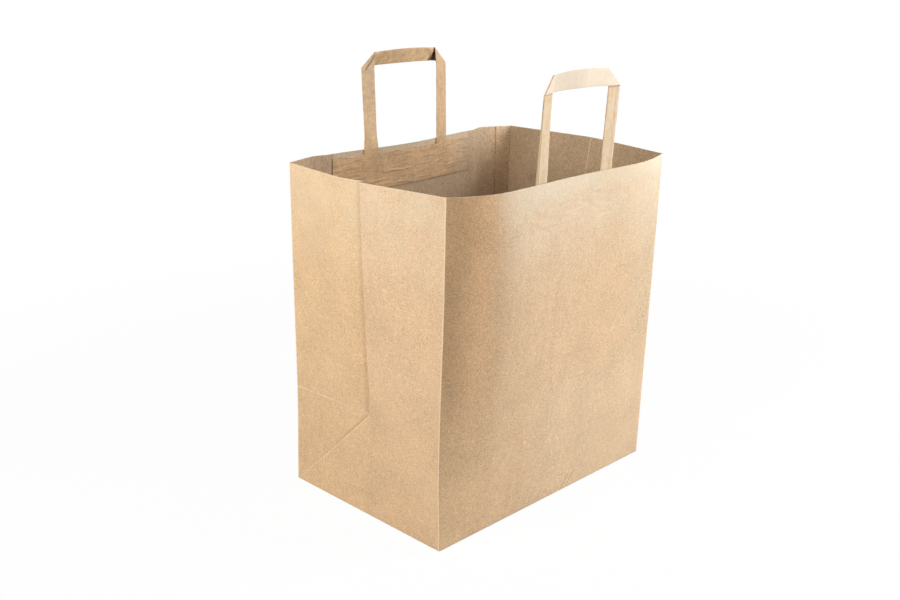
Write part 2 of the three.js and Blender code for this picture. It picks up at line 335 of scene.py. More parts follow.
def pick(kind, test):
    """Select the vertices, edges or faces that pass a test, in edit mode."""
    bpy.ops.mesh.select_mode(type=kind)
    bpy.ops.mesh.select_all(action='DESELECT')
    mesh = bpy.context.edit_object.data
    shape = bmesh.from_edit_mesh(mesh)
    for element in {'VERT': shape.verts, 'EDGE': shape.edges, 'FACE': shape.faces}[kind]:
        if test(element):
            element.select_set(True)
    shape.select_flush_mode()
    bmesh.update_edit_mesh(mesh)


def middle(edge):
    return (edge.verts[0].co + edge.verts[1].co) / 2


def centre(face):
    return face.calc_center_median()


def runs_along(edge, axis, least):
    """Whether an edge is at least so long and runs along an axis."""
    reach = edge.verts[1].co - edge.verts[0].co
    return abs(reach[axis]) > max(least, 0.999 * reach.length)


def cut(test, point, normal):
    pick('FACE', test)
    bpy.ops.mesh.bisect(plane_co=point, plane_no=normal)


def split(test, cuts):
    pick('EDGE', test)
    bpy.ops.mesh.subdivide(number_cuts=cuts)


def finish_with(piece, kind, **settings):
    """Add a modifier and apply it."""
    activate(piece)
    modifier = piece.modifiers.new(kind.title(), kind)
    for name, value in settings.items():
        setattr(modifier, name, value)
    bpy.ops.object.modifier_apply(modifier=modifier.name)


def vertex_places(piece):
    places = np.empty(len(piece.data.vertices) * 3)
    piece.data.vertices.foreach_get("co", places)
    return places.reshape(-1, 3).T.copy()


def push(piece, axis, distances):
    """Move each vertex along an axis by its own distance, by Displace modifiers with vertex weights."""
    for way in (1, -1):
        reach = np.clip(way * distances, 0, None)
        most = reach.max()
        if most < 1e-8:
            continue
        group = piece.vertex_groups.new(name="Push")
        for index in np.flatnonzero(reach):
            group.add([int(index)], reach[index] / most, 'REPLACE')
        finish_with(
            piece, 'DISPLACE', direction=axis, strength=way * most, mid_level=0, vertex_group=group.name
        )
        piece.vertex_groups.remove(piece.vertex_groups["Push"])


def turn_round(piece):
    activate(piece)
    bpy.ops.object.mode_set(mode='EDIT')
    bpy.ops.mesh.select_all(action='SELECT')
    bpy.ops.transform.rotate(value=math.pi, orient_axis='Z', center_override=(0, 0, 0))
    bpy.ops.object.mode_set(mode='OBJECT')


def shade(piece, degrees):
    activate(piece)
    bpy.ops.object.shade_smooth_by_angle(angle=math.radians(degrees))


def settle(piece, node):
    """Give a finished piece its place in the frame."""
    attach(piece, BODY)
    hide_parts(node)


# How the panels bow, at s along a panel and at height z

def smooth(low, high, value):
    part = np.clip((value - low) / (high - low), 0, 1)
    return part * part * (3 - 2 * part)


def floor_place(body):
    """Height of the bottom sheet's underside, which lies on the two flaps."""
    return 2 * body.paper


def foot_place(body):
    return floor_place(body) + body.fold_radius


def flat_half(body, size):
    """Half of a panel, up to where its corner fold begins."""
    return size / 2 - body.fold_radius


def risen(body, z):
    return np.clip((z - foot_place(body)) / (body.height - foot_place(body)), 0, 1)


def flank_share(body, s):
    half = flat_half(body, body.width)
    return np.clip((half - np.abs(s)) / (half - body.stiff_half), 0, 1)


def sag_share(body, s):
    return np.cos(math.pi / 2 * np.minimum(1, np.abs(s) / body.stiff_half)) ** 2


def front_bow(body, s, z):
    half = flat_half(body, body.width)
    left_bow = body.front_left_bow * (1 - (1 - risen(body, z)) ** body.front_fullness)
    right_bow = body.front_right_bow * risen(body, z) ** body.right_fade
    to_right = smooth(-body.stiff_half, body.stiff_half, s)
    bow = left_bow + (right_bow - left_bow) * to_right
    flank = np.where(s > 0, np.clip((half - s) / body.right_flank, 0, 1), flank_share(body, s))
    at_rim = np.sin(math.pi / 2 * flank)
    below = 1 - (1 - np.clip((half + s) / body.left_flank, 0, 1)) ** 3
    form = np.where(s > 0, at_rim, at_rim + (below - at_rim) * smooth(*FRONT_FORMS, z))
    return bow * form - body.front_sag * risen(body, z) * sag_share(body, s)


def front_wall(body, s, z):
    """The front panel with its bow, its creases and its soft waves."""
    out = front_bow(body, s, z)
    for crease in FRONT_CREASES:
        out = out + crease_height(crease, s, z)
    out = out + wrinkle_height(FRONT_WRINKLES, s, z)
    plain_rim = smooth(body.height, body.height - WAVE_MARGIN, z)
    return out + waves(body, s, z) * flank_share(body, s) * smooth(0, WAVE_MARGIN, z) * plain_rim


def waves(body, s, z):
    """Soft waves, mostly upright, that add up from a few seeded sines."""
    draw = random.Random(5)
    total = np.zeros_like(s)
    for _ in range(WAVE_COUNT):
        turn = draw.uniform(-WAVE_TURN, WAVE_TURN)
        step = 2 * math.pi / draw.uniform(*WAVE_LENGTHS)
        phase = draw.uniform(0, 2 * math.pi)
        total += np.sin(step * (s * math.cos(turn) + z * math.sin(turn)) + phase)
    return body.wave * total / math.sqrt(WAVE_COUNT)


def rear_wall(body, s, z):
    flank = flank_share(body, s)
    rise, fall = flank / body.rear_kink_place, (1 - flank) / (1 - body.rear_kink_place)
    kink = (rise + fall - np.hypot(rise - fall, body.kink_rounding)) / 2
    kink = np.maximum(kink, 0) * np.where(s < 0, body.rear_left_kink, body.rear_right_kink)
    to_right = smooth(-body.stiff_half, body.stiff_half, s)
    level = body.rear_left_level + (body.rear_right_level - body.rear_left_level) * to_right
    rim = kink + level * flank - body.rear_sag * sag_share(body, s)
    belly = body.rear_belly * np.sin(math.pi / 2 * flank) * np.sin(math.pi * risen(body, z))
    return rim * risen(body, z) ** body.rear_fade + belly


def pleat(across, reach, lip, hollow=PLEAT_HOLLOW):
    """Share of a pleat's depth, beside its line: a soft slope on one side and a steep lip on the other."""
    soft = np.clip(1 - across / reach, 0, 1) ** hollow
    steep = np.clip(1 + across / lip, 0, 1) ** 2
    return np.where(across > 0, soft, steep)


def gusset_bow(body, s, z, rim_bow, crease_share):
    """A gusset keeps its folds: a centre crease down to a dent, and two diagonals to the corners."""
    apex = body.depth / 2
    half = flat_half(body, body.depth)
    inwards = 1 - np.abs(s) / half
    low = np.clip((z - foot_place(body)) / (apex - foot_place(body)), 0, 1)
    up = np.clip((z - apex) / (body.height - apex), 0, 1)
    crest = -body.gusset_dent + (rim_bow + body.gusset_dent) * up ** body.gusset_growth
    depth = body.crease_start + (body.crease_depth - body.crease_start) * up ** body.crease_growth
    depth = depth * crease_share * smooth(apex, apex + body.crease_run, z)
    reach = body.crease_reach * (1 + body.crease_spread * up)
    hollow = PLEAT_HOLLOW - RIM_FILL * up
    above = crest * inwards - depth * pleat(body.crease_slant * up - s, reach, body.crease_lip, hollow)
    run = np.array((-half, foot_place(body) - apex))
    run /= np.hypot(*run)
    along = s * run[0] + (z - apex) * run[1]
    across = s * run[1] - (z - apex) * run[0]
    faded = 1 - DIAGONAL_FADE * along / apex
    folded = body.diagonal_depth * smooth(0, body.diagonal_reach, along) * faded
    folded = np.where(s < 0, np.maximum(folded, 0), 0) * smooth(apex, apex - DIAGONAL_START, z)
    fold = folded * pleat(across, body.diagonal_reach, body.crease_lip / 2)
    below = -body.gusset_dent * np.minimum(low, inwards) - fold * inwards
    return np.where(z > apex, above, below)


def crease_height(crease, s, z):
    """A straight ridge or dent that fades out at its ends."""
    start, end = (np.array(point) * MM for point in (crease.start, crease.end))
    run = end - start
    size = np.hypot(*run)
    along = ((s - start[0]) * run[0] + (z - start[1]) * run[1]) / size
    across = ((z - start[1]) * run[0] - (s - start[0]) * run[1]) / size
    reach = crease.reach * MM
    ends = smooth(-reach, reach, along) * smooth(-reach, reach, size - along)
    return crease.height * MM * smooth(reach, 0, np.abs(across)) * ends


def wrinkle_height(wrinkles, s, z):
    """Many short wrinkles that add up."""
    draw = random.Random(wrinkles.seed)
    total = np.zeros_like(s)
    for _ in range(wrinkles.count):
        s_middle = draw.uniform(wrinkles.low[0], wrinkles.high[0])
        z_middle = draw.uniform(wrinkles.low[1], wrinkles.high[1])
        turn = math.atan(draw.uniform(-wrinkles.slope, wrinkles.slope))
        half = wrinkles.length * draw.uniform(*WRINKLE_HALVES)
        run, lift = half * math.cos(turn), half * math.sin(turn)
        reach = wrinkles.reach * draw.uniform(*WRINKLE_REACHES)
        height = wrinkles.height * draw.uniform(-1, 1)
        ends = ((s_middle - run, z_middle - lift), (s_middle + run, z_middle + lift))
        total += crease_height(Crease(*ends, reach, height), s, z)
    return total


def flare(body, x, y, z):
    """How far the opened mouth carries a point along X, Y and Z."""
    level = body.depth / 2
    rise = np.clip((z - level) / (body.height - level), 0, 1)
    to_right = np.clip(x / body.width + 0.5, 0, 1)
    to_rear = np.clip(y / body.depth + 0.5, 0, 1)
    shifts = []
    for axis in (0, 1, 2):
        front = body.front_left_flare[axis] * (1 - to_right) + body.front_right_flare[axis] * to_right
        rear = body.rear_left_flare[axis] * (1 - to_right) + body.rear_right_flare[axis] * to_right
        shifts.append(rise * (front * (1 - to_rear) + rear * to_rear))
    shifts[0] += body.right_bulge * np.sin(math.pi * risen(body, z)) * to_right * (1 - to_rear)
    start, full, held, end = (stage * level for stage in KINK_STAGES)
    kink = smooth(start, full, z) * smooth(end, held, z) * (1 - to_right) ** 3
    for axis in (0, 1):
        pull = body.near_kink[axis] * (1 - to_rear) ** 3 + body.left_kink[axis] * to_rear ** 3
        shifts[axis] += kink * pull
    return shifts


def open_mouth(body, piece):
    x, y, z = vertex_places(piece)
    for axis, distances in zip('XYZ', flare(body, x, y, z)):
        push(piece, axis, distances)


# Bag body

def fold_box(body):
    """An open box, with rounded corner folds, cut into a fine grid."""
    base = floor_place(body)
    box = start_box(
        "bag_body_paper",
        (body.width, body.depth, body.height - base),
        (0, 0, (body.height + base) / 2),
    )
    bpy.ops.object.mode_set(mode='EDIT')
    pick('FACE', lambda face: face.normal.z > 0.5)
    bpy.ops.mesh.delete(type='ONLY_FACE')
    pick('EDGE', lambda edge: middle(edge).z < body.height - GRID)
    bpy.ops.mesh.bevel(offset=body.fold_radius, segments=2, affect='EDGES')
    apex = body.depth / 2
    cut(lambda face: True, (0, 0, apex), (0, 0, 1))
    rows_below = round(apex / GRID)
    rows_above = round((body.height - apex) / GRID)
    split(lambda edge: runs_along(edge, 2, GRID) and middle(edge).z < apex, rows_below - 1)
    split(lambda edge: runs_along(edge, 2, GRID * 2) and middle(edge).z > apex, rows_above - 1)
    split(lambda edge: runs_along(edge, 0, GRID * 2), round(body.width / GRID) - 1)
    split(lambda edge: runs_along(edge, 1, GRID * 2), round(body.depth / GRID) - 1)
    bpy.ops.object.mode_set(mode='OBJECT')
    return box


def cut_folds(body):
    """Cut narrow strips along the gusset folds and the front creases, so that they bend sharply."""
    apex = body.depth / 2
    half_depth = flat_half(body, body.depth)
    rise = apex - foot_place(body)
    bpy.ops.object.mode_set(mode='EDIT')

    def on_gusset(face):
        return abs(face.normal.x) > FACING

    def on_front(face):
        return face.normal.y < -FACING

    crease_side = Vector((0, body.height - apex, body.crease_slant)).normalized()
    for offset in (-2 * FOLD_STRIP, -FOLD_STRIP, 0, FOLD_STRIP):
        cut(
            lambda face: on_gusset(face) and centre(face).z > apex,
            Vector((0, 0, apex)) + crease_side * offset,
            crease_side,
        )
    for offset in (-FOLD_STRIP, FOLD_STRIP):
        cut(lambda face: abs(face.normal.z) < FACING, (0, 0, apex + offset), (0, 0, 1))
    for side in (-1, 1):
        normal = Vector((0, side * rise, half_depth)).normalized()
        for offset in (-FOLD_STRIP, 0, FOLD_STRIP):
            cut(
                lambda face: on_gusset(face) and centre(face).z < apex - FOLD_STRIP
                and centre(face).y * side > 0,
                Vector((0, 0, apex)) + normal * offset,
                normal,
            )
    for crease in (crease for crease in FRONT_CREASES if crease.reach < 2 * GRID / MM):
        start, end = (Vector((point[0], 0, point[1])) * MM for point in (crease.start, crease.end))
        across = (end - start).cross((0, 1, 0)).normalized()
        low = Vector(map(min, start, end))
        high = Vector(map(max, start, end))
        margin = crease.reach * MM
        for part in (-1, -0.5, 0, 0.5, 1):
            cut(
                lambda face: on_front(face)
                and low.x - margin < centre(face).x < high.x + margin
                and low.z - margin < centre(face).z < high.z + margin,
                start + across * margin * part,
                across,
            )
    low, high = (np.array(point) * MM for point in FRONT_WRINKLES[:2])
    for row in np.arange(low[1], high[1], GRID / 2):
        cut(
            lambda face: on_front(face) and abs(centre(face).x) < high[0]
            and abs(centre(face).z - row) < GRID,
            (0, 0, row),
            (0, 0, 1),
        )
    bpy.ops.object.mode_set(mode='OBJECT')


def lap_seam(body):
    """A second layer inside the rear panel, next to its corner with the right gusset."""
    edge = body.width / 2 - body.seam_lap
    inset = body.paper * SEAM_STEP
    bpy.ops.object.mode_set(mode='EDIT')
    cut(lambda face: face.normal.y > FACING, (edge, 0, 0), (1, 0, 0))
    pick('FACE', lambda face: face.normal.y > FACING and centre(face).x > edge)
    bpy.ops.mesh.duplicate_move(TRANSFORM_OT_translate={"value": (-inset, -inset, 0)})
    bpy.ops.object.mode_set(mode='OBJECT')
    return body.depth / 2 - inset


def lay_out_blank(body, box):
    """A UV map that is the flat blank in metres: u runs round the panels from the front, v runs up."""
    half_width = body.width / 2
    half_depth = body.depth / 2
    mesh = box.data
    for layer in list(mesh.uv_layers):
        mesh.uv_layers.remove(layer)
    blank = mesh.uv_layers.new(name="Blank")
    for face in mesh.polygons:
        normal = face.normal
        for loop in face.loop_indices:
            x, y, z = mesh.vertices[mesh.loops[loop].vertex_index].co
            if normal.z < -FACING_DOWN:
                point = (x + half_width, y - half_depth)
            elif normal.y < -FACING_OUT:
                point = (x + half_width, z)
            elif normal.x > FACING_OUT:
                point = (body.width + half_depth + y, z)
            elif normal.y > FACING_OUT:
                point = (body.width + body.depth + half_width - x, z)
            else:
                point = (2 * body.width + body.depth + half_depth - y, z)
            blank.data[loop].uv = point


def bow_panels(body, box, lap_place):
    """Bow and crease the flat panels as the open bag has."""
    x, y, z = vertex_places(box)
    half_width = body.width / 2
    half_depth = body.depth / 2
    front = np.abs(y + half_depth) < NEAR
    lap = np.abs(y - lap_place) < NEAR
    rear = (np.abs(y - half_depth) < NEAR) | lap
    left = np.abs(x + half_width) < NEAR
    right = np.abs(x - half_width) < NEAR
    across = np.zeros_like(x)
    across[left] = -gusset_bow(body, -y[left], z[left], body.left_bow, 1)
    across[right] = gusset_bow(body, -y[right], z[right], body.right_bow, body.right_crease)
    outwards = np.zeros_like(x)
    outwards[rear] = rear_wall(body, -x[rear], z[rear])
    lap_edge = half_width - body.seam_lap
    outwards[lap] -= body.seam_lift * np.clip(1 - (x[lap] - lap_edge) / (body.seam_lap / 3), 0, 1)
    outwards[front] = -front_wall(body, x[front], z[front])
    for crease in LEFT_CREASES:
        across[left] -= crease_height(crease, -y[left], z[left])
    push(box, 'X', across)
    push(box, 'Y', outwards)
    open_mouth(body, box)


def bottom_flap(body, name, z):
    """A trapezoid flap under the bottom, folded in from the front edge."""
    trim = 2 * body.paper
    reach = body.bottom_lap / 2
    edge = body.width / 2 - trim
    low = trim - body.depth / 2
    deselect_all()
    bpy.ops.mesh.primitive_plane_add(
        size=1, location=(0, (low + reach) / 2, z), rotation=(math.pi, 0, 0)
    )
    flap = named(name, (2 * edge, reach - low, 1))
    bpy.ops.object.mode_set(mode='EDIT')
    pick('VERT', lambda vertex: vertex.co.y > 0)
    narrow = (edge - body.depth / 2 - reach) / edge
    bpy.ops.transform.resize(value=(narrow, 1, 1))
    bpy.ops.object.mode_set(mode='OBJECT')
    finish_with(flap, 'SOLIDIFY', thickness=FLAP_THICKNESS * body.paper, offset=-1)
    return flap


class CARRIER_BAG_OT_bag_body(Operator):
    """Fold the kraft sheet into the open, gusseted bag"""
    bl_idname = "carrier_bag.bag_body"
    bl_label = "Bag Body"

    def execute(self, context):
        bag = context.scene.carrier_bag
        body = bag.body
        box = fold_box(body)
        cut_folds(body)
        lay_out_blank(body, box)
        lap_place = lap_seam(body)
        bow_panels(body, box, lap_place)
        box.data.materials.append(kraft_wall(bag))
        box.data.materials.append(kraft_inside(bag))
        finish_with(
            box, 'SOLIDIFY', thickness=body.paper, offset=-1, use_even_offset=True, material_offset=1
        )
        rear_flap = bottom_flap(body, "rear_flap", body.paper)
        front_flap = bottom_flap(body, "front_flap", 0)
        turn_round(rear_flap)
        activate(box)
        rear_flap.select_set(True)
        front_flap.select_set(True)
        bpy.ops.object.join()
        shade(box, BAG_SMOOTH)
        settle(box, "bag_body")
        return {'FINISHED'}


# Handles

# Marks on a strap's points, for its paper: the grip, the folds and the grip's face towards the legs
GRIP_MARK = "grip"
FOLD_MARK = "fold"
LINING_MARK = "grip_lining"
Side = namedtuple(
    "Side", "name wall span rise shift twist spring slant left_slant seed turn back lift splay droop",
    defaults=(0,) * 5,
)


def fold_strap(bag, side):
    """Run a strap up one leg, over a 45 degree fold, along the grip, over a fold and down again."""
    handle = bag.handle
    width = handle.strap_width
    span = side.span
    outer = span / 2
    inner = outer - width
    leg = (outer + inner) / 2
    top = bag.body.height + side.rise
    foot = bag.body.height - bag.patch.drop - bag.patch.height + bag.patch.leg_inset
    layer = handle.strap + handle.fold_gap
    size = (width, handle.strap, top - foot)
    strap = start_box(side.name + "_handle_strap", size, (leg, 0, (top + foot) / 2))

    def fold_at(way):
        bpy.ops.mesh.spin(
            steps=FOLD_STEPS, angle=-math.pi, center=(way * leg, -layer / 2, top - width / 2),
            axis=(way, 0, -1),
        )

    bpy.ops.object.mode_set(mode='EDIT')
    pick('VERT', lambda vertex: vertex.co.z > top - NEAR and vertex.co.x > outer - NEAR)
    bpy.ops.transform.translate(value=(0, 0, -width))
    pick('FACE', lambda face: face.normal.z > 0.5)
    fold_at(1)
    bpy.ops.mesh.extrude_region_move(TRANSFORM_OT_translate={"value": (-span, 0, 0)})
    pick('VERT', lambda vertex: vertex.co.x < -outer - NEAR)
    bpy.ops.transform.translate(value=(2 * width, 0, 0))
    pick('FACE', lambda face: centre(face).x < -inner and abs(face.normal.y) < 0.5 < abs(face.normal.x))
    fold_at(-1)
    bpy.ops.mesh.extrude_region_move(TRANSFORM_OT_translate={"value": (0, 0, foot - top)})
    pick('VERT', lambda vertex: vertex.co.z < foot - NEAR)
    bpy.ops.transform.translate(value=(0, 0, width))
    bpy.ops.mesh.select_all(action='SELECT')
    bpy.ops.mesh.remove_doubles(threshold=NEAR)
    bpy.ops.mesh.normals_make_consistent(inside=False)
    split(lambda edge: runs_along(edge, 2, 2 * width), LEG_CUTS)
    split(lambda edge: runs_along(edge, 0, 2 * width), GRIP_CUTS)
    split(lambda edge: edge.calc_length() > 0.9 * width, STRAP_CUTS)
    bpy.ops.object.mode_set(mode='OBJECT')
    return strap


def raise_lap(bag, strap, span):
    """The strap's last fold ends in a lap, a quarter of its width from the outer edge of the legs."""
    handle = bag.handle
    lap_line = span / 2 - handle.strap_width / 4
    face_place = -handle.strap / 2
    step = 0.2 * MM

    def on_line(vertex):
        return abs(abs(vertex.co.x) - lap_line) < NEAR and abs(vertex.co.y - face_place) < NEAR

    bpy.ops.object.mode_set(mode='EDIT')
    pick('EDGE', lambda edge: all(on_line(vertex) for vertex in edge.verts))
    bpy.ops.mesh.bevel(offset=step, segments=1, affect='EDGES')
    bpy.ops.object.mode_set(mode='OBJECT')
    x, y, _ = vertex_places(strap)
    lapped = (np.abs(x) > lap_line + step / 2) & (np.abs(y - face_place) < NEAR)
    push(strap, 'Y', np.where(lapped, -handle.lap_step, 0))


def wall_inside(bag, wall, s, z):
    """How far the inside of a broad panel lies from the bag's middle, less the glue."""
    return bag.body.depth / 2 + wall(bag.body, s, z) - bag.body.paper - bag.patch.seat


def bend_strap(bag, strap, side):
    """Lay the legs on the wall, lean and twist the handle, crease it and let its grip spring open."""
    handle = bag.handle
    width = handle.strap_width
    height = bag.body.height
    top = height + side.rise
    outer = side.span / 2
    leg = outer - width / 2
    x, y, z = vertex_places(strap)
    out = wall_inside(bag, side.wall, x + side.shift, np.minimum(z, height)) - handle.strap / 2
    out += math.tan(handle.lean) * np.maximum(0, z - height)
    grown = smooth(height - width, top - width, z)
    from_left = x + leg
    fade = 1 - smooth(width / 2, width / 2 + leg, from_left)
    out -= math.tan(side.twist) * (np.minimum(from_left, width / 2) + width / 2) * fade * grown
    evenly = np.clip((z - height) / (side.rise - width), 0, 1)
    turned = smooth(height, height + width, z) * (1 - TURN_LOSS * evenly)
    from_right = leg - x
    fade = 1 - smooth(width / 2, width / 2 + leg, from_right)
    out += (math.tan(side.turn) * np.minimum(from_right, width / 2) * turned + side.back * evenly) * fade
    layer = handle.strap + handle.fold_gap
    grip = y < -layer / 2
    from_fold = (outer - np.abs(x) - z + top - width) / math.sqrt(2)
    freed = np.where(grip, smooth(0, width / math.sqrt(2), from_fold), 0)
    out += side.spring * freed * (top - z) / width
    shortened = 1 - math.sqrt(1 - (side.spring / width) ** 2)
    half = outer - np.clip(z - top + width, 0, width)
    arch = handle.bar_arch * np.cos(math.pi / 2 * np.clip(np.abs(x) / half, 0, 1))
    upper = np.clip((z - top + width) / width, 0, 1)
    upwards = np.where(grip, arch, 0) + shortened * freed * (top - z)
    upwards -= side.droop * upper * smooth(0, -leg, x)
    beside_fold = np.clip((x - outer + width) / width, 0, 1)
    upwards += side.lift * beside_fold * smooth(top - 2 * width, top - width, z)
    creased = STRAP_WRINKLES._replace(seed=side.seed, height=handle.crumple / MM)
    on_grip = creased._replace(seed=side.seed + 1)
    crumple = np.where(grip, wrinkle_height(on_grip, x, z), wrinkle_height(creased, x, z))
    out += crumple * smooth(0, width / 3, np.abs(from_fold)) * smooth(height, height + width / 2, z)
    beyond = np.minimum(0, from_fold)
    lining = grip & (y > -layer)
    for name, marked in ((GRIP_MARK, grip), (FOLD_MARK, beyond < -NEAR), (LINING_MARK, lining)):
        values = strap.data.attributes.new(name, 'FLOAT', 'POINT').data
        values.foreach_set("value", marked.astype(np.float32))
    pressed = handle.fold_press * beyond / math.sqrt(2)
    push(strap, 'Y', -out)
    push(strap, 'Z', upwards + pressed)
    aslant = upper * (side.slant * smooth(0, leg, x) - side.left_slant * smooth(0, -leg, x))
    splayed = side.splay * np.clip((top - width - z) / (side.rise - width), 0, 1) * smooth(0, -leg, x)
    push(strap, 'X', side.shift - aslant - splayed + np.sign(x) * pressed)


class CARRIER_BAG_OT_handles(Operator):
    """Fold the two paper straps into handles and glue them inside the broad panels"""
    bl_idname = "carrier_bag.handles"
    bl_label = "Handles"

    def execute(self, context):
        bag = context.scene.carrier_bag
        handle = bag.handle
        front = Side(
            "front", front_wall, handle.front_span, handle.front_rise, handle.front_shift,
            handle.front_twist, handle.front_spring, handle.front_slant, handle.front_left_slant, seed=21,
            splay=handle.front_splay, droop=handle.front_droop,
        )
        rear = Side(
            "rear", rear_wall, handle.rear_span, handle.rear_rise, handle.rear_shift,
            handle.rear_twist, handle.rear_spring, handle.rear_slant, handle.rear_slant, seed=33,
            turn=handle.rear_turn, back=handle.rear_back, lift=handle.rear_lift,
        )
        for side, material in ((front, strap_face_paper(bag)), (rear, strap_back_paper(bag))):
            strap = fold_strap(bag, side)
            raise_lap(bag, strap, side.span)
            bend_strap(bag, strap, side)
            if side.name == "rear":
                turn_round(strap)
            open_mouth(bag.body, strap)
            finish_with(
                strap, 'BEVEL', width=STRAP_EDGE, segments=2, limit_method='ANGLE',
                angle_limit=math.radians(STRAP_EDGE_ANGLE),
            )
            shade(strap, STRAP_SMOOTH)
            strap.data.materials.append(material)
            settle(strap, side.name + "_handle")
        return {'FINISHED'}


# Patches

def lay_patch(bag, name, wall, span, shift, leg_shift, seed):
    """A thin strip on the wall that rises over the two legs it holds, with wrinkles along it."""
    body, handle, patch = bag.body, bag.handle, bag.patch
    top = body.height - patch.drop
    deselect_all()
    bpy.ops.mesh.primitive_grid_add(
        x_subdivisions=round(patch.span / PATCH_GRID), y_subdivisions=round(patch.height / PATCH_GRID),
        size=1, location=(0, 0, top - patch.height / 2), rotation=(-math.pi / 2, 0, 0),
    )
    strip = named(name, (patch.span, patch.height, 1))
    x, _, z = vertex_places(strip)
    leg = (span - handle.strap_width) / 2
    beside = np.abs(np.abs(x + shift - leg_shift) - leg) - handle.strap_width / 2 - patch.ease
    raised = (handle.strap + patch.seat) * smooth(patch.ramp, 0, beside)
    wrinkled = np.maximum(0, wrinkle_height(PATCH_WRINKLES._replace(seed=seed), x, z))
    inside = wall_inside(bag, wall, x + shift, z) - raised - wrinkled - body.paper
    push(strip, 'Y', -inside)
    push(strip, 'X', np.full_like(x, shift))
    finish_with(strip, 'SOLIDIFY', thickness=body.paper, offset=-1)
    return strip


class CARRIER_BAG_OT_patches(Operator):
    """Glue a paper patch over the legs of each handle"""
    bl_idname = "carrier_bag.patches"
    bl_label = "Handle Patches"

    def execute(self, context):
        bag = context.scene.carrier_bag
        handle = bag.handle
        material = patch_paper(bag)
        front = lay_patch(
            bag, "front_handle_patch_paper", front_wall, handle.front_span, handle.front_shift,
            handle.front_shift, 7,
        )
        rear = lay_patch(
            bag, "rear_handle_patch_paper", rear_wall, handle.rear_span, bag.patch.rear_shift,
            handle.rear_shift, 11,
        )
        turn_round(rear)
        for piece, node in ((front, "front_handle_patch"), (rear, "rear_handle_patch")):
            open_mouth(bag.body, piece)
            shade(piece, STRAP_SMOOTH)
            piece.data.materials.append(material)
            settle(piece, node)
        return {'FINISHED'}


# Paper

GRAIN_SCALE = 1000
MOTTLE_SCALE = 210
CLOUD_SCALE = 28
SPECK_SCALE = 620
SPECK_SHIFT = (3.1, 1.7, 5.3)
RELIEF = 0.4 * MM
PAPER_GLOSS = 0.35

# Stretches of the bag's wall with painted light and shade: limits along the blank, limits up it, and a tint
Stretch = namedtuple("Stretch", "along up tint")
FRONT_LIGHT_AND_SHADE = (
    # Painted shade beside the near fold
    Stretch([(0.085, 0.025)], [(0.06, 0.2)], (0.97, 0.905, 0.84)),
    # Painted light: the pale band on the near flank
    Stretch([(0.01, 0.034), (0.058, 0.034)], [(0.13, 0.2)], (1.2, 1.19, 1.18)),
    # Painted shade in the hollow between that band and the fold
    Stretch([(0.016, 0.004)], [(0.13, 0.2), (0.3, 0.25)], (0.88, 0.87, 0.86)),
    # Painted shade on the far side
    Stretch([(0.24, 0.31)], [(0.08, 0.2)], (0.88, 0.93, 0.97)),
    # Painted light on the far and the near part of the foot
    Stretch([(0.1, 0.16)], [(0.16, 0.1)], (1.01, 1.05, 1.1)),
    Stretch([(0.08, 0.04)], [(0.16, 0.1)], (1.04, 1.03, 1)),
)
# Painted light and shade on the front half of the left gusset, above and below its folds
LEFT_LIGHT_AND_SHADE = (
    Stretch([], [(0.1, 0.16)], (1, 1.01, 1.07)),
    Stretch([], [(0.16, 0.1)], (0.96, 0.96, 0.985)),
)

# Where a pale sheen is painted on the wall: limits along the front, up the wall and at the rim, and how
# strongly
SHEEN_ALONG, SHEEN_UP, SHEEN_RIM = (0.025, 0.085), (0.22, 0.33), (0.312, 0.336)
FRONT_SHEEN, LEFT_SHEEN, RIM_SHEEN = 0.44, 0.34, 0.4

# Where shade and light are painted on the inner face: limits on the blank, with the tones at them
DARK_DEPTH, LEFT_LIGHT = (0.22, 0.32, 0.84, 1), (0.75, 0.85, 1, 1.1)
CORNER_REACH, CORNER_LIGHT = (0.042, 0.02), (0.285, 0.32, 0.2, 0.5)
RIGHT_START, RIGHT_END, RIGHT_LIGHT = (0.365, 0.395), (0.5, 0.47), (0.285, 0.325, 0, 0.15)
CREASE_RUN, CREASE_SHIFT = 0.05, -2.7 * MM

# Tints of parts of the straps and patches, as factors of their paper's colour
FACE_FOLD, FACE_LEG, FACE_LAP_SHADE = (1.06, 0.99, 0.94), (0.93, 0.96, 0.95), (0.82, 0.8, 0.78)
BACK_GRIP_LIGHT, BACK_FOLD = (1.23, 1.22, 1.21), (1.1, 1.04, 1)
BACK_RIGHT_LEG_SHADE, BACK_LEFT_LEG = (0.89, 0.87, 0.84), (0.975, 0.955, 0.93)
BACK_WEDGE_SHADOW, BACK_ROLL_SHADE = (0.1, 0.05, 0.05), (0.36, 0.31, 0.25)
PATCH_LEFT, PATCH_LEFT_LIMITS = (1.06, 1.06, 1.07), (-0.04, -0.06)

# The shaded wedge in the rear grip: the two ends of its edge, beside the fold and above the grip's edge
WEDGE_LOW = (-3.6 * MM, 4 * MM)
WEDGE_HIGH = (-6.9 * MM, 11.7 * MM)
WEDGE_FOLD = 5.2 * MM

# The patches' painted wrinkle shade: dark lines painted like the shade of fine wrinkles
WRINKLE_SHADE_SCALE = 480
WRINKLE_SHADE_STRETCH = (0.12, 0.12, 1)


def add_node(tree, kind, inputs, **settings):
    """A node with its settings, whose inputs are values or other nodes' outputs."""
    node = tree.nodes.new(kind)
    for name, value in settings.items():
        setattr(node, name, value)
    for key, value in inputs.items():
        if isinstance(value, bpy.types.NodeSocket):
            tree.links.new(value, node.inputs[key])
        else:
            node.inputs[key].default_value = value
    return node


def new_group(name, inputs, outputs):
    """An empty shader node group, its input node and its output node."""
    group = bpy.data.node_groups.new(name, 'ShaderNodeTree')
    for way, sockets in (('INPUT', inputs), ('OUTPUT', outputs)):
        for socket, kind in sockets:
            group.interface.new_socket(name=socket, in_out=way, socket_type=kind)
    return group, group.nodes.new('NodeGroupInput'), group.nodes.new('NodeGroupOutput')


